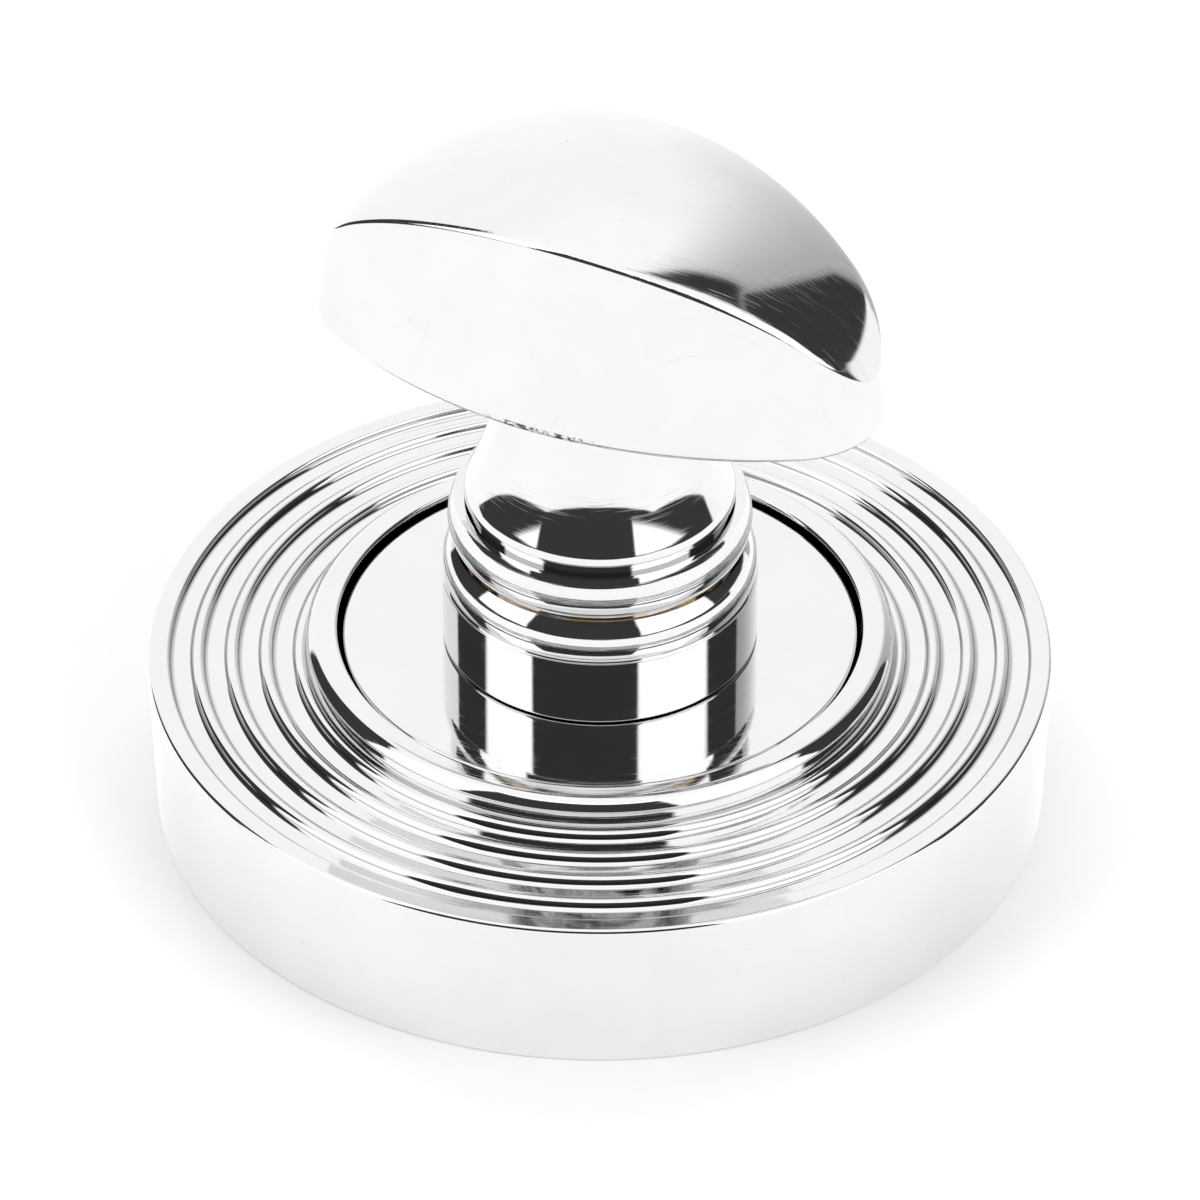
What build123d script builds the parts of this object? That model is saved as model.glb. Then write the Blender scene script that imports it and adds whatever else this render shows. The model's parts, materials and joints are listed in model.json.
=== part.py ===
from build123d import *
import math
import os

# Oval thumbturn on a round reeded rose, all sizes in millimetres.
# The spindle axis is +Z, and z = 0 is the door's face, on which the rose lies.

# Reeded rose cover
rose_radius = 26.5
rim_height = 9.4
rim_width = 1.25
rim_bevel = 0.35
foot_inset = 0.3
cover_wall = 2.0
cover_skin = 1.3
reed_pitch = 2.0
flute_width = 1.35
flute_side = 0.4
flute_depth = 0.42
reed_slope = 0.03
plain_band_least = 0.8
ring_width = 1.2
ring_height = 1.58
ring_bevel = 0.3
shoulder_width = 1.3

# Base plate that is screwed to the door, with the plain disc in the rose's middle
disc_radius = 15.0
disc_gap = 0.4
disc_recess = 0.45
disc_edge_bevel = 0.2
flange_thickness = 3.6
thread_clearance = 0.1
boss_wall = 2.0
boss_top = 2.5
tube_wall = 1.8
screw_hole_radius = 2.1
screw_head_radius = 3.7
screw_count = 3

# Turn: stem, collar, mouldings, neck and oval head in one casting
stem_radius = 6.0
stem_recess = 0.8
stem_chamfer = 0.4
collar_radius = 9.2
collar_height = 4.3
collar_gap = 0.1
collar_edge = 0.15
ovolo_height = 2.5
ovolo_neck_radius = 8.5
ovolo_step = 0.2
ovolo_bulge = 0.38
quirk_height = 0.3
quirk_depth = 0.3
torus_height = 2.7
torus_rise = 0.35
neck_foot_step = 0.5
neck_foot_bevel = 0.35
neck_foot_lean = 0.45
neck_top_lean = 0.06
neck_top_radius = 5.5
neck_height = 9.7
head_length = 35.5
head_width = 18.0
head_end_radius = 5.9
head_draft = 8.3
head_height = 13.1
head_tip_inset = 0.12
head_base_bevel = 0.5
dome_shoulder_radius = 10.5
square_size = 5.2
square_depth = 21.0

# Bearing: washers and the spring clip that holds the turn in the base plate
running_clearance = 0.05
axial_play = 0.03
bearing_washer_thickness = 0.8
bearing_washer_radius = 8.2
washer_bore_clearance = 0.15
recess_clearance = 0.15
thrust_washer_thickness = 0.6
thrust_washer_radius = 7.8
pocket_clearance = 0.5
clip_thickness = 1.0
clip_land = 1.2
clip_radius = 7.3
clip_groove_depth = 0.4
clip_gap_angle = 50.0
clip_ear_radius = 1.25
clip_ear_hole_radius = 0.55

# Radii that follow from one another, from the disc outwards
hole_radius = disc_radius + disc_gap
ring_radius = hole_radius + ring_width
cover_bore_radius = rose_radius - cover_wall
shoulder_radius = cover_bore_radius - shoulder_width
flange_radius = cover_bore_radius - thread_clearance
first_flute_radius = rose_radius - rim_width
reed_room = first_flute_radius - flute_width - ring_radius - plain_band_least
flute_count = int(reed_room / reed_pitch) + 1
reed_width = reed_pitch - flute_width
screw_circle_radius = (disc_radius + shoulder_radius) / 2


def reed_line(radius):
    """Height of the reeds' tops at a radius: the face rises a little towards the middle."""
    return rim_height + rim_bevel + reed_slope * (first_flute_radius - radius)


# Heights that follow from one another, from the door outwards
ring_foot_height = reed_line(ring_radius)
ring_top = ring_foot_height + ring_height
cover_underside = rim_height + rim_bevel - flute_depth - cover_skin
disc_top = ring_top - disc_recess
clip_base = stem_recess + clip_land
clip_top = clip_base + clip_thickness
thrust_base = clip_top + axial_play
bearing_shoulder = thrust_base + thrust_washer_thickness + axial_play
collar_base = disc_top + collar_gap
bearing_washer_top = collar_base - axial_play
bearing_washer_base = bearing_washer_top - bearing_washer_thickness
collar_top = collar_base + collar_height
ovolo_top = collar_top + ovolo_height
torus_base = ovolo_top + quirk_height
torus_top = torus_base + torus_height
neck_base = torus_top + quirk_height
head_base = neck_base + neck_height
head_half = head_length / 2
dome_radius = head_half + head_tip_inset
dome_shoulder_offset = dome_radius - dome_shoulder_radius
dome_rise = head_height - dome_shoulder_radius
dome_crown_radius = dome_shoulder_radius + (dome_shoulder_offset**2 + dome_rise**2) / (2 * dome_rise)
dome_turn = math.degrees(math.atan2(dome_crown_radius - head_height, dome_shoulder_offset))
side_offset = head_half - head_end_radius
side_rise = head_width / 2 - head_end_radius
head_side_radius = head_end_radius + (side_offset**2 + side_rise**2) / (2 * side_rise)
side_turn = math.degrees(math.atan2(head_side_radius - head_width / 2, side_offset))
neck_foot_radius = ovolo_neck_radius - neck_foot_step
neck_quirk_radius = neck_foot_radius - neck_foot_bevel
clip_groove_radius = stem_radius - clip_groove_depth
pocket_radius = max(clip_radius, thrust_washer_radius) + pocket_clearance
tube_radius = pocket_radius + tube_wall

# Rose cover: one turned shell, with the reeds cut in its face and a raised ring round the hole
with BuildPart() as rose_cover:
    with BuildSketch(Plane.XZ):
        with BuildLine():
            # Wall from the foot up to the bevelled rim
            edge = (first_flute_radius, reed_line(first_flute_radius))
            Polyline(
                (cover_bore_radius, 0),
                (rose_radius - foot_inset, 0),
                (rose_radius, rim_height),
                (rose_radius - rim_bevel, rim_height + rim_bevel),
                edge,
            )
            # Hollow flutes with a narrow reed between each two
            for i in range(flute_count):
                outer = first_flute_radius - i * reed_pitch
                inner = outer - flute_width
                flute_end = (inner, reed_line(inner))
                Polyline(
                    edge,
                    (outer - flute_side, reed_line(outer) - flute_depth),
                    (inner + flute_side, reed_line(inner) - flute_depth),
                    flute_end,
                )
                edge = flute_end
                if i < flute_count - 1:
                    reed_end = (inner - reed_width, reed_line(inner - reed_width))
                    Line(edge, reed_end)
                    edge = reed_end
            # Plain band, raised ring and the hole
            Polyline(
                edge,
                (ring_radius, ring_foot_height),
                (ring_radius, ring_top),
                (hole_radius, ring_top),
                (hole_radius, cover_underside),
                (shoulder_radius, cover_underside),
                (shoulder_radius, flange_thickness),
                (cover_bore_radius, flange_thickness),
                (cover_bore_radius, 0),
            )
        make_face()
    revolve(axis=Axis.Z)
    ring_edges = rose_cover.edges().filter_by(GeomType.CIRCLE).group_by(Axis.Z)[-1]
    chamfer(ring_edges, length=ring_bevel)

rose_cover.part.label = "rose_cover"

# Base plate: flange, raised boss whose top is the plain disc, and the bearing tube in its middle
with BuildPart() as base_plate:
    with BuildSketch():
        Circle(flange_radius)
    extrude(amount=flange_thickness)
    with BuildSketch(Plane.XY.offset(flange_thickness)):
        Circle(disc_radius)
    extrude(amount=disc_top - flange_thickness)
    disc_edge = base_plate.edges().filter_by(GeomType.CIRCLE).group_by(Axis.Z)[-1]
    chamfer(disc_edge, length=disc_edge_bevel)
    # Casting pocket round the bearing tube, open towards the door
    with BuildSketch():
        Circle(disc_radius - boss_wall)
        Circle(tube_radius, mode=Mode.SUBTRACT)
    extrude(amount=disc_top - boss_top, mode=Mode.SUBTRACT)
    # Bearing bore, the seat of the upper washer, and the pocket for the lower washer and the clip
    with BuildSketch():
        Circle(stem_radius + running_clearance)
    extrude(amount=disc_top, mode=Mode.SUBTRACT)
    with BuildSketch(Plane.XY.offset(bearing_washer_base)):
        Circle(bearing_washer_radius + recess_clearance)
    extrude(amount=disc_top - bearing_washer_base, mode=Mode.SUBTRACT)
    with BuildSketch():
        Circle(pocket_radius)
    extrude(amount=bearing_shoulder, mode=Mode.SUBTRACT)
    # Countersunk holes for the wood screws, covered by the rose
    with Locations(Plane.XY.offset(flange_thickness)):
        with PolarLocations(screw_circle_radius, screw_count, start_angle=90):
            CounterSinkHole(screw_hole_radius, screw_head_radius, depth=flange_thickness)

base_plate.part.label = "base_plate"

# Turn: an oval of four arcs, drawn in towards the crown, is cut off by a round dome
with BuildPart() as turn:
    with BuildSketch(Plane.XY.offset(head_base)):
        with BuildLine():
            side_middle = head_width / 2 - head_side_radius
            side_span = 2 * (90 - side_turn)
            CenterArc((side_offset, 0), head_end_radius, -side_turn, 2 * side_turn)
            CenterArc((0, side_middle), head_side_radius, side_turn, side_span)
            CenterArc((-side_offset, 0), head_end_radius, 180 - side_turn, 2 * side_turn)
            CenterArc((0, -side_middle), head_side_radius, 180 + side_turn, side_span)
        make_face()
    extrude(amount=head_height, taper=head_draft)
    with BuildSketch(Plane.XZ):
        with BuildLine():
            crown_middle = head_base + head_height - dome_crown_radius
            CenterArc((dome_shoulder_offset, head_base), dome_shoulder_radius, 0, dome_turn)
            CenterArc((0, crown_middle), dome_crown_radius, dome_turn, 90 - dome_turn)
            Polyline((0, head_base + head_height), (0, head_base), (dome_radius, head_base))
        make_face()
    revolve(axis=Axis.Z, mode=Mode.INTERSECT)
    underside = turn.faces().filter_by(GeomType.PLANE).sort_by(Axis.Z)[0]
    chamfer(underside.edges(), length=head_base_bevel)
    # Stem, collar and mouldings are one profile about the axis
    with BuildSketch(Plane.XZ):
        with BuildLine():
            # Stem with the clip's groove, and the collar
            Polyline(
                (0, neck_base),
                (0, stem_recess),
                (stem_radius - stem_chamfer, stem_recess),
                (stem_radius, stem_recess + stem_chamfer),
                (stem_radius, clip_base - axial_play),
                (clip_groove_radius, clip_base - axial_play),
                (clip_groove_radius, clip_top + axial_play),
                (stem_radius, clip_top + axial_play),
                (stem_radius, collar_base),
                (collar_radius - collar_edge, collar_base),
                (collar_radius, collar_base + collar_edge),
                (collar_radius, collar_top),
                (collar_radius - ovolo_step, collar_top),
            )
            # Ovolo above the collar, then a half-round torus between two narrow quirks
            ovolo_end = (ovolo_neck_radius, ovolo_top)
            SagittaArc((collar_radius - ovolo_step, collar_top), ovolo_end, -ovolo_bulge)
            Polyline(
                ovolo_end,
                (ovolo_neck_radius - quirk_depth, ovolo_top),
                (ovolo_neck_radius - quirk_depth, torus_base),
                (ovolo_neck_radius, torus_base),
            )
            torus_middle = (ovolo_neck_radius + torus_rise, (torus_base + torus_top) / 2)
            ThreePointArc((ovolo_neck_radius, torus_base), torus_middle, (ovolo_neck_radius, torus_top))
            # Neck: a bell with a bevelled foot, which sweeps up and runs into the head
            neck_foot = (neck_foot_radius, neck_base + neck_foot_bevel)
            Polyline(
                (ovolo_neck_radius, torus_top),
                (neck_quirk_radius, torus_top),
                (neck_quirk_radius, neck_base),
                neck_foot,
            )
            neck_crown = (neck_top_radius, head_base)
            neck_ends = ((-neck_foot_lean, 1), (-neck_top_lean, 1))
            Spline(neck_foot, neck_crown, tangents=neck_ends)
            Polyline(
                neck_crown,
                (neck_top_radius, head_base + head_base_bevel),
                (0, head_base + head_base_bevel),
                (0, neck_base),
            )
        make_face()
    revolve(axis=Axis.Z)
    # Square socket for the spindle, open towards the door
    with BuildSketch(Plane.XY.offset(stem_recess)):
        Rectangle(square_size, square_size)
    extrude(amount=square_depth, mode=Mode.SUBTRACT)

turn.part.label = "turn"

# Nylon washer that the collar turns on
with BuildPart() as bearing_washer:
    with BuildSketch(Plane.XY.offset(bearing_washer_base)):
        Circle(bearing_washer_radius)
        Circle(stem_radius + washer_bore_clearance, mode=Mode.SUBTRACT)
    extrude(amount=bearing_washer_thickness)

bearing_washer.part.label = "bearing_washer"

# Steel washer between the base plate and the clip
with BuildPart() as thrust_washer:
    with BuildSketch(Plane.XY.offset(thrust_base)):
        Circle(thrust_washer_radius)
        Circle(stem_radius + washer_bore_clearance, mode=Mode.SUBTRACT)
    extrude(amount=thrust_washer_thickness)

thrust_washer.part.label = "thrust_washer"

# Spring clip in the stem's groove, with an eared gap
ear_circle_radius = clip_radius - clip_ear_radius
with BuildPart() as circlip:
    with BuildSketch(Plane.XY.offset(clip_base)):
        Circle(clip_radius)
        with BuildLine(mode=Mode.PRIVATE) as gap:
            Polyline(
                (0, 0),
                PolarLine((0, 0), 2 * clip_radius, 90 - clip_gap_angle / 2, mode=Mode.PRIVATE) @ 1,
                PolarLine((0, 0), 2 * clip_radius, 90 + clip_gap_angle / 2, mode=Mode.PRIVATE) @ 1,
                close=True,
            )
        make_face(gap.edges(), mode=Mode.SUBTRACT)
        with PolarLocations(ear_circle_radius, 2, 90 - clip_gap_angle / 2, clip_gap_angle, endpoint=True):
            Circle(clip_ear_radius)
        Circle(clip_groove_radius, mode=Mode.SUBTRACT)
        with PolarLocations(ear_circle_radius, 2, 90 - clip_gap_angle / 2, clip_gap_angle, endpoint=True):
            Circle(clip_ear_hole_radius, mode=Mode.SUBTRACT)
    extrude(amount=clip_thickness)

circlip.part.label = "circlip"

os.makedirs("parts", exist_ok=True)
export_step(rose_cover.part, "parts/rose_cover.step")
export_step(base_plate.part, "parts/base_plate.step")
export_step(turn.part, "parts/turn.step")
export_step(bearing_washer.part, "parts/bearing_washer.step")
export_step(thrust_washer.part, "parts/thrust_washer.step")
export_step(circlip.part, "parts/circlip.step")
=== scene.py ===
# %% [markdown]
# # A chrome thumbturn on a reeded rose
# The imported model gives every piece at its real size, in metres, with the spindle axis as +Z and
# the door's face at z = 0. Blender never moves those pieces. This lesson gives them their looks:
# smooth, mirror-bright skins for the three chromed pieces, finishes for the small hidden ones, a
# plain studio and a camera.

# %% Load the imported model
import json
import math

import bpy
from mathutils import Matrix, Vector


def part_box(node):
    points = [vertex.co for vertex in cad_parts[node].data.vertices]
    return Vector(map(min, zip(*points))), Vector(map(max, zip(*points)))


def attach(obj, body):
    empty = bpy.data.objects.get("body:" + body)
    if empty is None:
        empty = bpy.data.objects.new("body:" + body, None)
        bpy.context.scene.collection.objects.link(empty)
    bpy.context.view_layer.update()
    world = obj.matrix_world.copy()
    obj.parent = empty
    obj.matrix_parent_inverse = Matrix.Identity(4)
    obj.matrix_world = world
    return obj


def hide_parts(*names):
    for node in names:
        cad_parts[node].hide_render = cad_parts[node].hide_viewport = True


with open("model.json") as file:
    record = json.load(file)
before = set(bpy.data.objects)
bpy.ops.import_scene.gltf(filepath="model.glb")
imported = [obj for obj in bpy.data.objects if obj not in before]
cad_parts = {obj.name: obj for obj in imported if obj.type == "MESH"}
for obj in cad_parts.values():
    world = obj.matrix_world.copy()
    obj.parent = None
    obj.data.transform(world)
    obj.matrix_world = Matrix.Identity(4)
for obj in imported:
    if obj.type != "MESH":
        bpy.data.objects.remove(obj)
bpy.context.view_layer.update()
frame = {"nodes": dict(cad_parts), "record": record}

MM = 0.001
print("nodes:", ", ".join(sorted(frame["nodes"])))

# %% [markdown]
# ## Sizes
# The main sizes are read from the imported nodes, so that each skin lies on its own piece. The
# others repeat the drawing of the part, in millimetres. A radius is measured from the spindle
# axis and a height from the door.

# %% Sizes read from the nodes
def size_of(node):
    """Lowest and highest corner of a node in millimetres."""
    low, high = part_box(node)
    return low / MM, high / MM


_, rose_high = size_of("rose_cover")
_, plate_high = size_of("base_plate")
turn_low, turn_high = size_of("turn")
washer_low, washer_high = size_of("bearing_washer")

rose_radius = rose_high.x
ring_top = rose_high.z
disc_top = plate_high.z
flange_radius = plate_high.x
head_top = turn_high.z
stem_bottom = turn_low.z
print(f"rose {2 * rose_radius:.1f} mm across and {ring_top:.2f} mm high")
print(f"disc at {disc_top:.2f} mm and top of the head at {head_top:.2f} mm")

# %% [markdown]
# ## Turned pieces
# The rose and the plate are turned on a lathe, and Blender has the same tool. Half of the section
# is drawn as a chain of points, and Spin sweeps it round the axis. The chain is drawn as by hand:
# one vertex is extruded from point to point. A mirror finish shows every fault in the shading, so
# each straight stretch gets a holding point close to both of its ends. It keeps the flat faces
# flat beside their rounded edges.

# %% A half section drawn in millimetres
HOLD = 0.03  # from the end of a straight stretch to its holding point
ROOM = 4 * HOLD  # the shortest stretch that gets holding points
ARC_STEP = math.radians(10)
LEAST_ARC_STEPS = 4


class Section:
    """A chain of (radius, height) points for a turned piece."""

    def __init__(self, radius, height):
        self.points = [Vector((radius, height))]

    def line(self, radius, height):
        """A straight stretch, with a holding point near each end where there is room."""
        start, end = self.points[-1], Vector((radius, height))
        along = end - start
        if along.length > ROOM:
            step = along.normalized() * HOLD
            self.points += [start + step, end - step]
        self.points.append(end)
        return self

    def bow(self, radius, height, rise):
        """An arc to a point, which stands out by rise.

        It does so on the left of the way there, or on the right if rise is negative."""
        start, end = self.points[-1], Vector((radius, height))
        chord = end - start
        half = chord.length / 2
        bend = 2 * math.atan(abs(rise) / half)
        arc_radius = half / math.sin(bend)
        side = Vector((-chord.y, chord.x)).normalized() * math.copysign(1, rise)
        centre = (start + end) / 2 + side * (abs(rise) - arc_radius)
        steps = max(LEAST_ARC_STEPS, math.ceil(2 * bend / ARC_STEP))
        along = chord.normalized()
        for i in range(1, steps):
            angle = bend * (2 * i / steps - 1)
            outward = side * math.cos(angle) + along * math.sin(angle)
            self.points.append(centre + outward * arc_radius)
        self.points.append(end)
        return self

    def round(self, corner, end, radius):
        """A straight stretch towards a corner, an arc round it, and on to the end point."""
        corner, end = Vector(corner), Vector(end)
        come = (corner - self.points[-1]).normalized()
        leave = (end - corner).normalized()
        turn = come.angle_signed(leave)
        reach = radius * math.tan(abs(turn) / 2)
        first, last = corner - come * reach, corner + leave * reach
        self.line(*first)
        self.bow(*last, math.copysign(radius * (1 - math.cos(turn / 2)), turn))
        return self.line(*end)


print("arcs are drawn in steps of", round(math.degrees(ARC_STEP)), "degrees")

# %% [markdown]
# Spin leaves a double seam where the sweep closes, and a heap of points on the axis, so the
# doubles are merged. Then the normals are recalculated, because the direction of a sweep decides
# which side it takes as the outside.

# %% The lathe
SPIN_STEPS = 288
WELD = 0.001 * MM  # points closer than this are one
CREASE = math.radians(32)  # a sharper edge than this stays sharp


def finish_mesh(piece):
    """Merges doubles, turns the faces outwards and smooths all but the creases.

    It starts in edit mode."""
    bpy.ops.mesh.select_all(action="SELECT")
    bpy.ops.mesh.remove_doubles(threshold=WELD)
    bpy.ops.mesh.normals_make_consistent(inside=False)
    bpy.ops.object.mode_set(mode="OBJECT")
    bpy.ops.object.shade_smooth_by_angle(angle=CREASE)
    print(piece.name, "has", len(piece.data.polygons), "faces")
    return piece


def turned_piece(name, section, steps=SPIN_STEPS):
    """Draws a half section by extruding one vertex along it, and spins it round the axis."""
    bpy.ops.object.select_all(action="DESELECT")
    bpy.ops.mesh.primitive_plane_add(size=MM)
    piece = bpy.context.object
    piece.name = name
    bpy.ops.object.mode_set(mode="EDIT")
    bpy.ops.mesh.select_all(action="SELECT")
    bpy.ops.mesh.merge(type="CENTER")
    here = Vector((0, 0))
    for number, point in enumerate(section.points):
        way = (point - here) * MM
        step = {"value": (way.x, 0, way.y)}
        if number == 0:
            bpy.ops.transform.translate(**step)
        else:
            bpy.ops.mesh.extrude_vertices_move(TRANSFORM_OT_translate=step)
        here = point
    bpy.ops.mesh.select_all(action="SELECT")
    bpy.ops.mesh.spin(steps=steps, angle=math.tau, center=(0, 0, 0), axis=(0, 0, 1))
    return finish_mesh(piece)


print("the lathe makes a turn in", SPIN_STEPS, "steps")

# %% [markdown]
# ## The rose cover
# The cover is a turned brass shell. From the rim inwards its face has four flutes with a narrow
# round bead between each two, and then a ring with a sloped shoulder round the hole. A plain arc
# would make a flute too round: its reflections would be twice as wide as on the real rose. So a
# flute has a flat floor between two small hollow sides. A bead is an arc that stands out of the
# metal, and the reeds are one loop over the pitch.

# %% Rose cover, sizes
cover_bore_radius = 24.5
shoulder_radius = 23.2
shoulder_height = 3.6
cover_underside = 8.03
foot_inset = 0.3
rim_height = 9.4
rim_round = 0.25
rim_rise = 0.35
rim_top = rim_height + rim_rise
rim_width = 1.25
edge_round = 0.2
edge_bulge = 0.05

flute_count = 4
flute_width = 1.35
flute_side = 0.42
flute_depth = 0.28
reed_pitch = 2.0
reed_slope = 0.03
bead_rise = 0.18

# Points of the ring are (radius, height)
ring_wall_top = (17.22, ring_top - 0.62)
ring_slope_top = (16.68, ring_top - 0.06)
ring_slope_bulge = 0.05
ring_round = 0.3
ring_round_bulge = 0.015
hole_radius = 15.4

first_flute_radius = rose_radius - rim_width
last_flute_edge = first_flute_radius - flute_count * reed_pitch
print(f"reeds from radius {first_flute_radius:.2f} to {last_flute_edge:.2f} mm")

# %% Rose cover
def reed_edge(radius):
    """Where a bead meets a flute: the face rises a little towards the middle."""
    return radius, rim_top - bead_rise + reed_slope * (first_flute_radius - radius)


side_lean = math.atan2(flute_depth, flute_side)
side_hollow = math.hypot(flute_depth, flute_side) / 2 * math.tan(side_lean / 2)
drop = Vector((0, flute_depth))

cover = Section(cover_bore_radius, 0)
cover.round((rose_radius - foot_inset, 0), (rose_radius, rim_height - rim_round), edge_round)
cover.round((rose_radius, rim_top), (first_flute_radius + edge_round, rim_top), rim_round)
cover.bow(*reed_edge(first_flute_radius), -edge_bulge)
for i in range(flute_count):
    outer = first_flute_radius - i * reed_pitch
    inner = outer - flute_width
    outer_floor = Vector(reed_edge(outer - flute_side)) - drop
    inner_floor = Vector(reed_edge(inner + flute_side)) - drop
    cover.bow(*outer_floor, side_hollow).line(*inner_floor)
    cover.bow(*reed_edge(inner), side_hollow).bow(*reed_edge(outer - reed_pitch), -bead_rise)
cover.line(*ring_wall_top).bow(*ring_slope_top, -ring_slope_bulge)
cover.bow(ring_slope_top[0] - ring_round, ring_top, -ring_round_bulge)
cover.round((hole_radius, ring_top), (hole_radius, cover_underside), edge_round)
cover.line(shoulder_radius, cover_underside)
cover.line(shoulder_radius, shoulder_height)
cover.line(cover_bore_radius, shoulder_height)
cover.line(cover_bore_radius, 0)
rose_skin = turned_piece("rose_cover_polished", cover)

# %% [markdown]
# ## The base plate
# Only the plain disc of the plate shows, inside the rose's ring, but the piece is whole: a flange
# with three countersunk screw holes, a boss, a casting pocket and the bearing. It is turned like
# the cover.

# %% Base plate
boss_radius = 15.1
boss_inner_radius = 13.0
tube_radius = 10.1
disc_thickness = 2.5
pocket_top = disc_top - disc_thickness
bore_radius = 6.05
clip_pocket_radius = 8.3
bearing_shoulder = 3.66
washer_play = 0.15
washer_seat_radius = washer_high.x + washer_play
disc_round = 0.25

plate = Section(clip_pocket_radius, 0)
for corner in (
    (tube_radius, 0),
    (tube_radius, pocket_top),
    (boss_inner_radius, pocket_top),
    (boss_inner_radius, 0),
    (flange_radius, 0),
    (flange_radius, shoulder_height),
    (boss_radius, shoulder_height),
):
    plate.line(*corner)
plate.round((boss_radius, disc_top), (washer_seat_radius, disc_top), disc_round)
for corner in (
    (washer_seat_radius, washer_low.z),
    (bore_radius, washer_low.z),
    (bore_radius, bearing_shoulder),
    (clip_pocket_radius, bearing_shoulder),
    (clip_pocket_radius, 0),
):
    plate.line(*corner)
plate_skin = turned_piece("base_plate_polished", plate)

# %% [markdown]
# The holes are cut as in the workshop. A cutter of the screw's own shape is turned on the same
# lathe, moved to its place and taken away by a Boolean. That leaves a few edges without length,
# which are dissolved before the mesh is finished once more.

# %% Screw holes in the base plate
mounts = {mount["name"]: mount for mount in frame["record"]["mounts"]}
screws = mounts["fixing_screws"]["dims"]
screw_hole_radius = screws["hole_r_mm"]
screw_circle_radius = screws["pcd_mm"] / 2
screw_head_radius = 3.7
sink_base = shoulder_height - (screw_head_radius - screw_hole_radius)
cutter_reach = 1.0
first_screw_angle = 90
cutter_steps = 64

for i in range(int(screws["count"])):
    drill = Section(0, -cutter_reach)
    drill.line(screw_hole_radius, -cutter_reach)
    drill.line(screw_hole_radius, sink_base)
    drill.line(screw_head_radius + cutter_reach, shoulder_height + cutter_reach)
    drill.line(0, shoulder_height + cutter_reach)
    cutter = turned_piece("screw_cutter", drill, cutter_steps)
    angle = math.radians(first_screw_angle + i * 360 / screws["count"])
    cutter.location = Vector((math.cos(angle), math.sin(angle), 0)) * screw_circle_radius * MM
    bpy.context.view_layer.objects.active = plate_skin
    hole = plate_skin.modifiers.new("screw_hole", "BOOLEAN")
    hole.operation = "DIFFERENCE"
    hole.object = cutter
    bpy.ops.object.modifier_apply(modifier=hole.name)
    bpy.data.objects.remove(cutter)
bpy.ops.object.select_all(action="DESELECT")
plate_skin.select_set(True)
bpy.ops.object.mode_set(mode="EDIT")
bpy.ops.mesh.select_all(action="SELECT")
bpy.ops.mesh.dissolve_degenerate(threshold=WELD)
finish_mesh(plate_skin)

# %% [markdown]
# ## The turn
# The turn is one casting. Up to the neck it is round, and the head is an oval whose walls lean in
# until a round dome cuts them off. The rim is a curve in space, and a Boolean would leave slivers
# along it that a mirror shows. So the skin is a stack of rings with the same number of points:
# square rings in the socket, round ones up to the neck and ovals in the head. A grid is added as
# a flat sheet, one row for each ring, and wrapped.

# %% Round part of the turn, sizes
stem_radius = 6.0
stem_chamfer = 0.4
groove_radius = 5.6
groove_base = 1.97
groove_top = 3.03

collar_gap = 0.1
collar_base = disc_top + collar_gap
collar_radius = 9.2
collar_foot_round = 0.15
collar_top_round = 0.075
collar_height = 4.3
collar_top = collar_base + collar_height

ovolo_foot_radius = 9.0
ovolo_height = 2.5
ovolo_top = collar_top + ovolo_height
ovolo_bulge = 0.38
mould_radius = 8.5
quirk_radius = 8.2
quirk_height = 0.3
torus_base = ovolo_top + quirk_height
torus_height = 2.7
torus_top = torus_base + torus_height
torus_bulge = 0.35

neck_base = torus_top + quirk_height
neck_quirk_radius = 7.65
neck_foot_radius = 7.88
neck_foot_height = 0.8
neck_start_radius = 7.77
neck_start = Vector((neck_start_radius, neck_base + neck_foot_height))
neck_foot_bulge = 0.06
neck_foot_lean = 0.45
neck_top_lean = 0.06
neck_top_radius = 5.5
neck_height = 9.7
head_base = neck_base + neck_height
neck_steps = 36
print(f"collar {collar_base:.2f} to {collar_top:.2f} mm, head from {head_base:.2f} mm")

# %% Round part of the turn
post = Section(stem_radius - stem_chamfer, stem_bottom)
post.line(stem_radius, stem_bottom + stem_chamfer).line(stem_radius, groove_base)
post.line(groove_radius, groove_base).line(groove_radius, groove_top).line(stem_radius, groove_top)
post.line(stem_radius, collar_base)
collar_wall = (collar_radius, collar_base + 2 * collar_foot_round)
post.round((collar_radius, collar_base), collar_wall, collar_foot_round)
post.round((collar_radius, collar_top), (ovolo_foot_radius, collar_top), collar_top_round)
post.bow(mould_radius, ovolo_top, -ovolo_bulge)
post.line(quirk_radius, ovolo_top).line(quirk_radius, torus_base)
post.line(mould_radius, torus_base).bow(mould_radius, torus_top, -torus_bulge)
post.line(neck_quirk_radius, torus_top).line(neck_quirk_radius, neck_base)
post.line(neck_foot_radius, neck_base)
post.bow(*neck_start, -neck_foot_bulge)
foot, crown = post.points[-1], Vector((neck_top_radius, head_base))
rise = crown.y - foot.y
for i in range(1, neck_steps + 1):
    # A curve that leaves the foot and reaches the head with the given leans
    t = i / neck_steps
    foot_share = 2 * t**3 - 3 * t**2 + 1
    bend = -neck_foot_lean * (t**3 - 2 * t**2 + t) - neck_top_lean * (t**3 - t**2)
    radius = crown.x + (foot.x - crown.x) * foot_share + bend * rise
    post.points.append(Vector((radius, foot.y + t * rise)))
print("the turn's round part has", len(post.points), "rings")

# %% [markdown]
# The oval is made of four arcs, and leaning walls keep their centres while the radii shrink with
# height. The dome's section has two arcs, a small one at the shoulder and a large one over the
# crown. Along each column of the sheet, the rim is where the wall meets the dome, found by
# halving a span until it is small.

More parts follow.
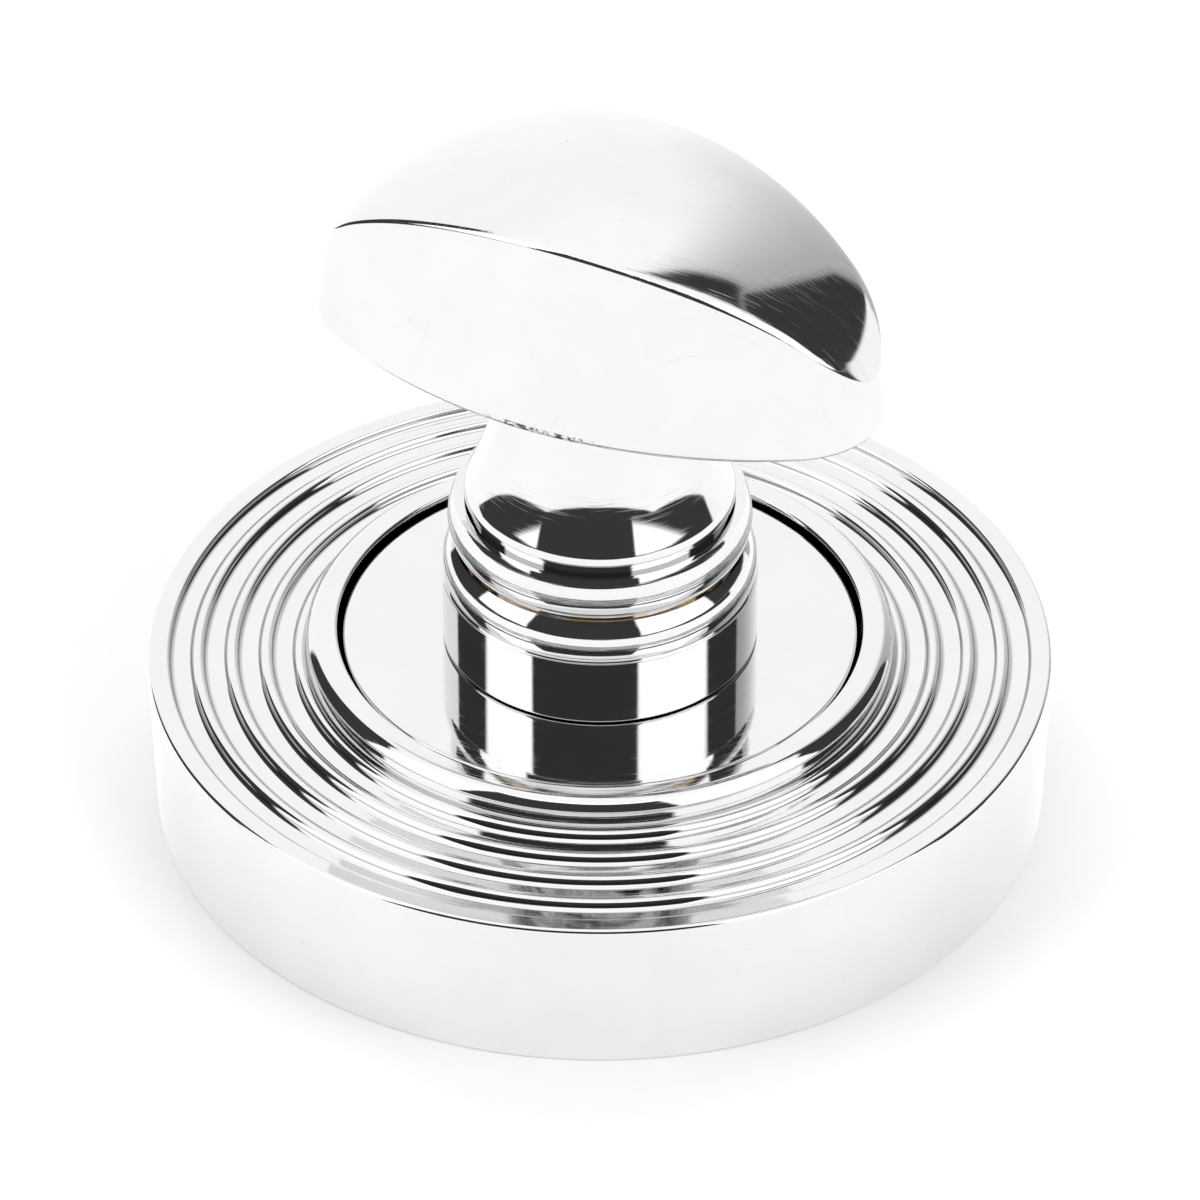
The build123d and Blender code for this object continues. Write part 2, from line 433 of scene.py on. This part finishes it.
# %% Oval head
COLUMNS = SPIN_STEPS
head_half = 17.75
head_half_width = 9.0
end_radius = 5.9
draft_angle = math.radians(8.3)
draft = math.tan(draft_angle)
head_height = head_top - head_base
dome_overhang = 0.12
dome_radius = head_half + dome_overhang
shoulder_arc = 10.5

side_offset = head_half - end_radius
side_rise = head_half_width - end_radius
side_radius = end_radius + (side_offset**2 + side_rise**2) / (2 * side_rise)
side_turn = math.atan2(side_radius - head_half_width, side_offset)
shoulder_offset = dome_radius - shoulder_arc
dome_rise = head_height - shoulder_arc
crown_arc = shoulder_arc + (shoulder_offset**2 + dome_rise**2) / (2 * dome_rise)
shoulder_end = shoulder_offset * crown_arc / (crown_arc - shoulder_arc)
print(f"sides of radius {side_radius:.1f} mm, crown of radius {crown_arc:.1f} mm")


def wall_point(angle, height):
    """A point on the leaning wall, where its outward direction in plan has this angle."""
    outward = Vector((math.cos(angle), math.sin(angle), 0))
    inset = draft * height
    if abs(outward.x) > math.cos(side_turn):
        centre = Vector((math.copysign(side_offset, outward.x), 0, 0))
        radius = end_radius
    else:
        centre = Vector((0, -math.copysign(side_radius - head_half_width, outward.y), 0))
        radius = side_radius
    return centre + outward * (radius - inset) + Vector((0, 0, head_base + height))


def dome_height(radius):
    """Height of the dome over the head's base at a distance from the axis."""
    if radius > shoulder_end:
        return math.sqrt(max(0, shoulder_arc**2 - (radius - shoulder_offset) ** 2))
    return head_height - crown_arc + math.sqrt(crown_arc**2 - radius**2)


def on_dome(point, share):
    """The dome's point over a point in plan, at a share of its distance from the axis."""
    x, y = point.x * share, point.y * share
    return Vector((x, y, head_base + dome_height(math.hypot(x, y))))


# %% [markdown]
# The rim was crisp once, and the polishing wheel has softened it: little at one tip and most past
# the middle. A bend from the wall to the dome takes the place of the sharp edge, and a second one
# rounds the head's lower edge.

# %% Columns of the head
base_round = 0.6
rim_wall_soft = 0.25
rim_dome_soft = (0.2, 0.6)
soft_stretch = (-0.8, 0.4)  # where the softening starts and is full, in shares of the half length
round_steps = 8
wall_shares = (0.02, 0.1, 0.3, 0.5, 0.7, 0.9, 0.98)
dome_steps = 48
HALVINGS = 40


def softened(start, corner, end):
    """Points of a smooth bend from start to end that leans towards the corner."""
    shares = [i / round_steps for i in range(round_steps + 1)]
    return [start * (1 - t) ** 2 + corner * 2 * t * (1 - t) + end * t**2 for t in shares]


def polished_away(x):
    """How far the polishing wheel has softened the rim into the dome."""
    first, last = soft_stretch
    share = min(1, max(0, (x / head_half - first) / (last - first)))
    least, most = rim_dome_soft
    return least + (most - least) * share**2 * (3 - 2 * share)


def head_column(angle):
    """One column of the sheet, from the neck under the head up to the crown."""
    low, high = 0, head_height
    for _ in range(HALVINGS):
        height = (low + high) / 2
        point = wall_point(angle, height)
        if dome_height(min(dome_radius, math.hypot(point.x, point.y))) > height:
            low = height
        else:
            high = height
    rim, base = wall_point(angle, low), wall_point(angle, 0)
    up = (rim - base).normalized()
    inward = Vector((-math.cos(angle), -math.sin(angle), 0))
    column = softened(base + inward * base_round, base, base + up * base_round)
    wall_foot, wall_top = column[-1], rim - up * rim_wall_soft
    column += [wall_foot.lerp(wall_top, share) for share in wall_shares]
    dome_share = 1 - polished_away(rim.x) / math.hypot(rim.x, rim.y)
    column += softened(wall_top, rim, on_dome(rim, dome_share))
    shares = [1 - i / dome_steps for i in range(1, dome_steps + 1)]
    column += [on_dome(rim, dome_share * share) for share in shares]
    return column


angles = [math.tau * i / COLUMNS for i in range(COLUMNS)]
head_columns = [head_column(angle) for angle in angles]
head_rings = [list(ring) for ring in zip(*head_columns)]
rim_row = head_rings[len(head_rings) - dome_steps - round_steps // 2]
rim_heights = [point.z for point in rim_row]
print("the head has", len(head_rings), "rings")
print(f"its rim runs from {min(rim_heights):.1f} to {max(rim_heights):.1f} mm")

# %% [markdown]
# The sheet is closed round the axis, so its last column comes back to the first and the seam is
# merged with the other doubles. The socket's end and the crown are rings drawn together into one
# point.

# %% Wrap the sheet round the turn
socket_half = 2.6
socket_end = 21.8


def round_ring(radius, height):
    """One ring of the sheet on a circle."""
    return [Vector((radius * math.cos(a), radius * math.sin(a), height)) for a in angles]


def square_ring(half, height):
    """One ring of the sheet on a square."""
    ring = []
    for a in angles:
        reach = half / max(abs(math.cos(a)), abs(math.sin(a)))
        ring.append(Vector((reach * math.cos(a), reach * math.sin(a), height)))
    return ring


rings = [square_ring(0, socket_end), square_ring(socket_half, socket_end)]
rings += [square_ring(socket_half, stem_bottom)]
rings += [round_ring(*point) for point in post.points]
rings += head_rings

bpy.ops.object.select_all(action="DESELECT")
rows = len(rings) - 1
bpy.ops.mesh.primitive_grid_add(x_subdivisions=COLUMNS, y_subdivisions=rows, size=1)
turn_skin = bpy.context.object
turn_skin.name = "turn_polished"
for vertex in turn_skin.data.vertices:
    row, column = divmod(vertex.index, COLUMNS + 1)
    vertex.co = rings[row][column % COLUMNS] * MM
bpy.ops.object.mode_set(mode="EDIT")
finish_mesh(turn_skin)

# %% [markdown]
# ## Shader maths as plain sums
# A finish is a tree of nodes. To keep it readable, one small class wraps a socket: sums and
# products of wires add their Math nodes, and `add` makes any other node from its type, its
# settings and its inputs.

# %% Wires
class Wire:
    """An output socket in a node tree."""

    def __init__(self, tree, socket=None):
        self.tree = tree
        self.socket = socket

    def add(self, kind, settings=None, inputs=None, output=0):
        """Adds a node, sets it up, feeds its sockets and returns one of its outputs."""
        node = self.tree.nodes.new(kind)
        for name, value in (settings or {}).items():
            setattr(node, name, value)
        for name, value in (inputs or {}).items():
            if isinstance(value, Wire):
                self.tree.links.new(value.socket, node.inputs[name])
            else:
                node.inputs[name].default_value = value
        return Wire(self.tree, node.outputs[output])

    def maths(self, operation, *values):
        """A Math node on values, which are wires or numbers."""
        return self.add("ShaderNodeMath", {"operation": operation}, dict(enumerate(values)))

    def __add__(self, other):
        return self.maths("ADD", self, other)

    def __sub__(self, other):
        return self.maths("SUBTRACT", self, other)

    def __rsub__(self, other):
        return self.maths("SUBTRACT", other, self)

    def __mul__(self, other):
        return self.maths("MULTIPLY", self, other)

    __radd__ = __add__
    __rmul__ = __mul__

    def power(self, exponent):
        return self.maths("POWER", self, exponent)

    def larger(self, other):
        return self.maths("MAXIMUM", self, other)

    def ramp(self, low, high, start=0.0, end=1.0):
        """Runs smoothly from start to end while this value goes from low to high."""
        values = {"Value": self, "From Min": low, "From Max": high, "To Min": start, "To Max": end}
        return self.add("ShaderNodeMapRange", {"interpolation_type": "SMOOTHSTEP"}, values)

    def within(self, low, high, soft):
        """1 between low and high, falling to 0 over a soft edge on both sides."""
        return self.ramp(low - soft, low + soft) * self.ramp(high - soft, high + soft, 1.0, 0.0)

    def blend(self, kind, first, second):
        """What lies between two colours or vectors, by this value."""
        ends = {"RGBA": ("A_Color", "B_Color"), "VECTOR": ("A_Vector", "B_Vector")}[kind]
        mixer = self.add("ShaderNodeMix", {"data_type": kind}, {"Factor": self}).socket.node
        for end, value in zip(ends, (first, second)):
            socket = next(each for each in mixer.inputs if each.identifier == end)
            if isinstance(value, Wire):
                self.tree.links.new(value.socket, socket)
            else:
                socket.default_value = value
        result = ends[0].replace("A_", "Result_")
        return Wire(self.tree, next(each for each in mixer.outputs if each.identifier == result))

    def mix(self, first, second):
        return self.blend("RGBA", first, second)

    def mix_vectors(self, first, second):
        return self.blend("VECTOR", first, second)

    def scaled(self, factor):
        """This vector times a number."""
        values = {"Vector": self, "Scale": factor}
        return self.add("ShaderNodeVectorMath", {"operation": "SCALE"}, values)

    def join(self, y, z):
        """A vector from three values."""
        return self.add("ShaderNodeCombineXYZ", None, {"X": self, "Y": y, "Z": z})


print("wires ready")

# %% [markdown]
# A few helpers come before the finishes. Every pattern is read from the piece's own coordinates,
# in millimetres, so it stays on the piece when the hinge turns.

# %% Places, noise and new finishes
def place(bench):
    """The object's own x, y and z in millimetres."""
    spot = bench.add("ShaderNodeTexCoord", output="Object")
    parts = bench.add("ShaderNodeSeparateXYZ", None, {"Vector": spot}).socket.node
    return [Wire(bench.tree, parts.outputs[i]) * (1 / MM) for i in range(3)]


def noise(where, detail=2.0, roughness=0.5):
    """Cloudy noise from 0 to 1, read at a place whose units are the noise's own size."""
    settings = {"Vector": where, "Scale": 1.0, "Detail": detail, "Roughness": roughness}
    return where.add("ShaderNodeTexNoise", None, settings)


def finish_of(name, **values):
    """A new material with its uniform values set on the shader.

    Returns it with a bench to build its nodes on, and the shader."""
    material = bpy.data.materials.new(name)
    material.use_nodes = True
    shader = material.node_tree.nodes["Principled BSDF"]
    for socket, value in values.items():
        shader.inputs[socket.replace("_", " ")].default_value = value
    return material, Wire(material.node_tree), shader


def feed(shader, socket, wire):
    """Links a wire to one of the shader's sockets."""
    wire.tree.links.new(wire.socket, shader.inputs[socket])


print("helpers ready")

# %% [markdown]
# ## Polished chrome
# Chrome is a mirror, so its detail is in how the mirror is disturbed. A buffing wheel leaves
# faint lines that run round a turned piece: noise that is fine across the radius and the height,
# and drawn out along the turn. They tip the surface a very little, and make bands of roughness.
# Clouds of haze, a few scratches and small pits in the plating lie over them.

# %% Marks of polishing
CHROME = (0.72, 0.72, 0.725, 1)
DULL_CHROME = (0.70, 0.70, 0.705, 1)
PIT = (0.4, 0.39, 0.38, 1)

# Sizes in millimetres
LINE_SIZE = 0.12
SCRATCH_SIZE = 0.05
CLOUD_SIZE = 5.0
PIT_SIZE = 0.3
LINE_HEIGHT = 0.004 * MM

# Levels of the noise at which a mark starts and is full
LINE_LEVELS = (0.35, 0.75)
SCRATCH_LEVELS = (0.62, 0.72)
CLOUD_LEVELS = (0.3, 0.7)
PIT_LEVELS = (0.9, 0.93)

# Shares of the marks in the haze and in the bump
LINE_HAZE = 0.5
CLOUD_HAZE = 0.3
SCRATCH_BUMP = 0.5

CRISP = {"detail": 3.0, "roughness": 0.6}
LINES_ROUND = 1.5  # steps of the noise in one radian round the axis


def polish(bench, shader, lines, scratches, spot, calm, hazy, strength, depth=1.0):
    """Wheel marks, clouds and scratches add to the roughness, and make a faint bump.

    calm is the least roughness and hazy what the marks add to it, strength is the bump's, and
    depth says how deep the marks are at a place. Returns the clouds and the pits, for the colour."""
    marks = noise(lines, **CRISP)
    scratch = noise(scratches, detail=1.0).ramp(*SCRATCH_LEVELS)
    cloud = noise(spot.scaled(1 / CLOUD_SIZE), **CRISP).ramp(*CLOUD_LEVELS)
    haze = marks.ramp(*LINE_LEVELS) * LINE_HAZE + cloud * CLOUD_HAZE + scratch
    feed(shader, "Roughness", haze * hazy * depth + calm)
    relief = (marks + scratch * SCRATCH_BUMP) * depth
    bump = {"Strength": strength, "Distance": LINE_HEIGHT, "Height": relief}
    feed(shader, "Normal", bench.add("ShaderNodeBump", None, bump))
    pits = noise(spot.scaled(1 / PIT_SIZE), detail=0.0).ramp(*PIT_LEVELS)
    return cloud, pits


def from_axis(x, y):
    """Distance from the spindle axis."""
    return (x * x + y * y).power(0.5)


def wheel_marks(x, y, z, size):
    """Where to read noise so that it runs in rings: fine in section, long round the axis."""
    angle = x.maths("ARCTAN2", y, x)
    return (from_axis(x, y) * (1 / size)).join(z * (1 / size), angle * LINES_ROUND)


print("marks ready")

# %% [markdown]
# The rose and the disc share this finish. On the rose, a thin line of painted shade lies inside
# both edges of every flute: it stands in for the dark reflections in these creases. A line for each
# corner would need eight masks. Wrapping the radius at the pitch lays all flutes over each other,
# so that one mask does for them all.

# %% Turned chrome
# Painted shade: the colour of the dark lines in the flute creases
FLUTE_SHADE = (0.24, 0.24, 0.245, 1)
LATHE_POLISH = {"calm": 0.02, "hazy": 0.06, "strength": 0.15}
shade_inset = 0.05
shade_width = 0.08
shade_soft = 0.05


def flute_corner_shade(x, y):
    """1 on a thin line inside both edges of every flute, where shade is painted into the crease."""
    radius = from_axis(x, y)
    first_middle = first_flute_radius - flute_width / 2
    pitches = (radius - first_middle) * (1 / reed_pitch)
    off_middle = pitches.maths("WRAP", pitches, 0.5, -0.5)
    off_middle = off_middle.maths("ABSOLUTE", off_middle) * reed_pitch
    line = flute_width / 2 - shade_inset
    lines = off_middle.within(line - shade_width / 2, line + shade_width / 2, shade_soft)
    return lines * radius.within(last_flute_edge, first_flute_radius, shade_soft)


def chrome_turned(name, corner_shade=None):
    """Chrome on a piece that was polished while it turned, with painted shade in its flutes if any.
    """
    material, bench, shader = finish_of(name, Metallic=1.0)
    x, y, z = place(bench)
    lines = wheel_marks(x, y, z, LINE_SIZE)
    scratches = wheel_marks(x, y, z, SCRATCH_SIZE)
    cloud, pits = polish(bench, shader, lines, scratches, x.join(y, z), **LATHE_POLISH)
    metal = pits.mix(cloud.mix(CHROME, DULL_CHROME), PIT)
    # Painted shade: the dark lines in the flute creases are mixed into the colour
    feed(shader, "Base Color", corner_shade(x, y).mix(metal, FLUTE_SHADE) if corner_shade else metal)
    return material


rose_chrome = chrome_turned("rose_chrome", flute_corner_shade)
disc_chrome = chrome_turned("disc_chrome")
print("made", rose_chrome.name, "and", disc_chrome.name)

# %% [markdown]
# The turn's lower half was polished on a lathe as well, but its head by hand on a wheel. There
# the lines run along the head and a little across, and the marks are stronger. Polish stays
# behind in the narrow groove under the torus, where the metal has a warmer tint. On the head's
# lower edge beside the neck the wheel can't reach, and ragged dark marks of the casting are left.

# %% Chrome of the turn
WARM_CHROME = (0.58, 0.49, 0.38, 1)
CASTING_SKIN = (0.08, 0.08, 0.08, 1)
HAND_POLISH = {"calm": 0.02, "hazy": 0.14, "strength": 0.4}
lathe_share = 0.25  # strength of the marks below the head
polish_border = 0.1
head_line_lean = 0.35
head_line_length = 4.0
head_line_rise = 0.3

stain_reach = 0.15
stain_soft = 0.12
stain_size = 2.0
stain_levels = (0.3, 0.6)
stain_strength = 0.7

edge_mark_height = 0.55
edge_mark_soft = 0.05
edge_marks = (-2.5, 4.0)
edge_marks_soft = 1.0
ragged_size = 0.625
ragged_levels = (0.46, 0.54)
RAGGED = {"detail": 4.0, "roughness": 0.7}


def chrome_turn():
    """Chrome of the turn, with lathe marks below and hand marks on the head."""
    material, bench, shader = finish_of("turn_chrome", Metallic=1.0)
    x, y, z = place(bench)
    spot = x.join(y, z)
    on_head = z.ramp(head_base - polish_border, head_base + polish_border)
    across = y - x * head_line_lean
    along = (x + y * head_line_lean) * (1 / head_line_length)

    def marks(size):
        by_hand = along.join(across * (1 / size), z * head_line_rise)
        return on_head.mix_vectors(wheel_marks(x, y, z, size), by_hand)

    depth = on_head * (1 - lathe_share) + lathe_share
    lines, scratches = marks(LINE_SIZE), marks(SCRATCH_SIZE)
    cloud, pits = polish(bench, shader, lines, scratches, spot, **HAND_POLISH, depth=depth)

    groove = z.within(ovolo_top - stain_reach, torus_base + stain_reach, stain_soft)
    stain = groove * noise(spot.scaled(1 / stain_size)).ramp(*stain_levels)
    metal = (stain * stain_strength).mix(cloud.mix(CHROME, DULL_CHROME), WARM_CHROME)

    ragged = noise(spot.scaled(1 / ragged_size), **RAGGED).ramp(*ragged_levels)
    ragged = ragged * x.within(*edge_marks, edge_marks_soft)
    skin = ragged * z.within(head_base, head_base + edge_mark_height, edge_mark_soft)
    feed(shader, "Base Color", pits.mix(skin.mix(metal, CASTING_SKIN), PIT))
    return material


turn_chrome = chrome_turn()
print("made", turn_chrome.name)

# %% [markdown]
# ## Hidden pieces
# The nylon washer under the collar and the steel washer and spring clip behind the plate keep
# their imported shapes. Nylon is milky with a slow mottle, and spring steel is dark grey with fine
# grain from rolling.

# %% Nylon and spring steel
NYLON = ((0.80, 0.79, 0.74, 1), (0.88, 0.87, 0.83, 1))
MOTTLE_SIZE = 1.25
MOTTLE_LEVELS = (0.3, 0.7)
STEEL = ((0.30, 0.30, 0.31, 1), (0.48, 0.47, 0.46, 1))
STEEL_ROUGHNESS = (0.25, 0.45)
GRAIN_LENGTH = 2.5
GRAINS_ACROSS = 12.0
GRAIN_LEVELS = (0.2, 0.8)


def nylon_finish():
    """Milky plastic with a slow mottle."""
    material, bench, shader = finish_of("nylon_washer", Roughness=0.45, Subsurface_Weight=0.1)
    x, y, z = place(bench)
    mottle = noise(x.join(y, z).scaled(1 / MOTTLE_SIZE), detail=4.0).ramp(*MOTTLE_LEVELS)
    feed(shader, "Base Color", mottle.mix(*NYLON))
    return material


def spring_steel_finish():
    """Dark steel with a grain along x."""
    material, bench, shader = finish_of("spring_steel", Metallic=1.0)
    x, y, z = place(bench)
    along = x * (1 / GRAIN_LENGTH)
    grain = noise(along.join(y * GRAINS_ACROSS, z * GRAINS_ACROSS), detail=3.0)
    feed(shader, "Base Color", grain.mix(*STEEL))
    feed(shader, "Roughness", grain.ramp(*GRAIN_LEVELS, *STEEL_ROUGHNESS))
    return material


nylon, spring_steel = nylon_finish(), spring_steel_finish()
for node, material in (
    ("bearing_washer", nylon),
    ("thrust_washer", spring_steel),
    ("circlip", spring_steel),
):
    mesh = frame["nodes"][node].data
    mesh.materials.clear()
    mesh.materials.append(material)
    print(node, "is", material.name)

# %% [markdown]
# ## Skins on their bodies
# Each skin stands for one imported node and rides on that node's body, so the turn's skin follows
# the hinge.

# %% Hang the skins on the frame
for skin, node, body, material in (
    (rose_skin, "rose_cover", "rose", rose_chrome),
    (plate_skin, "base_plate", "rose", disc_chrome),
    (turn_skin, "turn", "turn", turn_chrome),
):
    skin.data.materials.clear()
    skin.data.materials.append(material)
    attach(skin, body)
    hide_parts(node)
    print(skin.name, "stands for", node)

# %% [markdown]
# ## Camera
# The picture is taken with a long lens from well above the door's face. The camera stands level
# at that angle and looks at a point on the spindle axis. Its place is worked out from two angles
# and a distance, because those are easier to read and to change than coordinates.

# %% Camera
view_azimuth = math.radians(25.0)
view_elevation = math.radians(37.2)
view_distance = 582.5 * MM
look_height = 13.2 * MM
look_at = Vector((0, 0, look_height))
lens_length = 299
nearest = 10 * MM

backwards = Vector(
    (
        math.sin(view_azimuth) * math.cos(view_elevation),
        -math.cos(view_azimuth) * math.cos(view_elevation),
        math.sin(view_elevation),
    )
)
bpy.ops.object.camera_add(location=look_at + backwards * view_distance)
camera = bpy.context.object
camera.rotation_euler = (-backwards).to_track_quat("-Z", "Y").to_euler()
camera.data.lens = lens_length
camera.data.clip_start = nearest
bpy.context.scene.camera = camera
print("camera", round(view_distance / MM), "mm away, lens", lens_length)

# %% [markdown]
# ## Studio
# A mirror shows its surroundings, so the studio is drawn as light by direction, in plain bands.
# It is a pale room with a lighter ceiling. A dark screen stands at each side: its far edge leans
# towards the front as it rises, its near edge leans back, and the top of the right one is bent
# back. In front are two bright panels with a dark room between them and a dark strip below. Lamps
# and real boards would give the same picture with more noise. Every band is a mask from 0 to 1,
# and the dark ones are joined by the larger value. Bearings are in degrees from the camera's
# side, to the right, and heights in degrees above the table.

# %% Studio, sizes
DARK = 0.05
PALE = 1.27
CEILING = 1.33
PANEL_LIGHT = 2.0
ceiling_start = 45
ceiling_full = 70
edge_soft = 1.5
low_edge = -30

left_screen = (-134, -91)
right_screen = (84, 131)
screen_top = 52
right_low = 2
lean_start = 20
left_screen_lean = 0.3
right_screen_lean = 0.6
front_lean_start = 36
front_lean = 1.1

bent_top = (99, 117)
bent_lean = 0.7
bent_height = 76
bent_soft = 3

front_room = (-51, 28)
front_top = 56
panel_foot = 3
panel_top = 60
strip_overlap = (5, 16)  # with the left and the right screen, so that no light shows between them

haze_width = 45
haze_depth = 0.55
haze_soft = 0.1
print("panels between bearings", left_screen[1], "and", right_screen[0], "degrees")

# %% Studio, directions
world = bpy.data.worlds.new("studio")
bpy.context.scene.world = world
world.use_nodes = True
world.node_tree.nodes.clear()
bench = Wire(world.node_tree)
direction = bench.add("ShaderNodeTexCoord", output="Generated")
turned = bench.add(
    "ShaderNodeVectorRotate",
    {"rotation_type": "Z_AXIS"},
    {"Vector": direction, "Angle": -view_azimuth},
)
split = bench.add("ShaderNodeSeparateXYZ", None, {"Vector": turned}).socket.node
right, away, up = (Wire(world.node_tree, split.outputs[i]) for i in range(3))
degrees = 180 / math.pi
bearing = right.maths("ARCTAN2", right, away * -1.0) * degrees
height = up.maths("ARCSINE", up) * degrees
print("directions ready")


# %% Studio, bands
def past(value, edge):
    """1 where a value is past an edge."""
    return value.ramp(edge - edge_soft, edge + edge_soft)


def short_of(value, edge):
    """1 where a value is short of an edge."""
    return value.ramp(edge - edge_soft, edge + edge_soft, 1.0, 0.0)


def between(value, low, high):
    """1 where a value is between two edges."""
    return value.within(low, high, edge_soft)


raised = (height - lean_start).larger(0.0)
back_off = (height - front_lean_start).larger(0.0) * front_lean
right_lean = bearing + raised * right_screen_lean
left_lean = bearing - raised * left_screen_lean

right_side = short_of(right_lean, right_screen[1]) * past(bearing - back_off, right_screen[0])
right_side = right_side * between(height, right_low, screen_top)
left_side = past(left_lean, left_screen[0]) * short_of(bearing + back_off, left_screen[1])
left_side = left_side * between(height, low_edge, screen_top)
bent = (bearing - (height - screen_top) * bent_lean).within(*bent_top, bent_soft)
bent = bent * height.within(screen_top - edge_soft, bent_height, bent_soft)

room = between(bearing, *front_room) * between(height, low_edge, front_top)
strip_ends = (left_screen[1] - strip_overlap[0], right_screen[0] + strip_overlap[1])
strip = between(bearing, *strip_ends) * between(height, low_edge, panel_foot)
dark = left_side.larger(right_side).larger(room).larger(strip).larger(bent)
panels = between(bearing, left_screen[1], right_screen[0])
panels = panels * between(height, panel_foot, panel_top)
print("bands ready")

# %% [markdown]
# Beside the right screen the room is hazy: darkest at the screen's edge, and pale again further
# round. It gives the soft grey on that side of the dome. The camera itself sees plain white
# behind the table.

# %% World light
haze_end = right_screen[1] + haze_width
haze = right_lean.within(right_screen[1], haze_end, haze_soft)
haze = haze * right_lean.ramp(right_screen[1], haze_end, haze_depth, 0.0)
pale = height.ramp(ceiling_start, ceiling_full, PALE, CEILING)
glow = pale * (1 - haze) + panels * (PANEL_LIGHT - pale)
mirrored = glow * (1 - dark) + dark * DARK
seen = bench.add("ShaderNodeLightPath", output="Is Camera Ray")
light = mirrored * (1 - seen) + seen
grey = light.join(light, light)
sky = bench.add("ShaderNodeBackground", None, {"Color": grey, "Strength": 1.0})
sink = world.node_tree.nodes.new("ShaderNodeOutputWorld")
world.node_tree.links.new(sky.socket, sink.inputs["Surface"])
bpy.context.scene.view_settings.view_transform = "Standard"
print("studio with two side screens, a dark front room and two panels")

# %% [markdown]
# The table is a large white sheet at the door's face. It keeps the faint shadow round the rose,
# so it can't simply shine: the camera sees it lifted a little, up to white, and the chrome
# mirrors it lifted some more. One corner points away from the camera and ends close behind the
# rose, so that the pale room and not the table is mirrored from there on.

# %% Table
TABLE_WHITE = ((0.96, 0.96, 0.96, 1), (0.98, 0.98, 0.98, 1))
table_size = 3.0
table_mottle = 50.0
back_reach = 0.175
table_lift = 0.1
mirror_lift = 0.32

bpy.ops.object.select_all(action="DESELECT")
corner_turn = view_azimuth + math.radians(45)
bpy.ops.mesh.primitive_plane_add(size=table_size, rotation=(0, 0, corner_turn))
table = bpy.context.object
table.name = "table"
centre_reach = back_reach - table_size / math.sqrt(2)
behind = Vector((-math.sin(view_azimuth), math.cos(view_azimuth), 0))
table.location = behind * centre_reach
matt = {"Roughness": 0.9, "Specular_IOR_Level": 0.1, "Emission_Strength": 1.0}
table_white, bench, shader = finish_of("table_white", **matt)
x, y, z = place(bench)
feed(shader, "Base Color", noise(x.join(y, z).scaled(1 / table_mottle)).mix(*TABLE_WHITE))
by_camera = bench.add("ShaderNodeLightPath", output="Is Camera Ray")
by_mirror = bench.add("ShaderNodeLightPath", output="Is Glossy Ray")
lift = by_camera * table_lift + by_mirror * mirror_lift
feed(shader, "Emission Color", lift.join(lift, lift))
table.data.materials.append(table_white)
print("table", table_size, "m across")
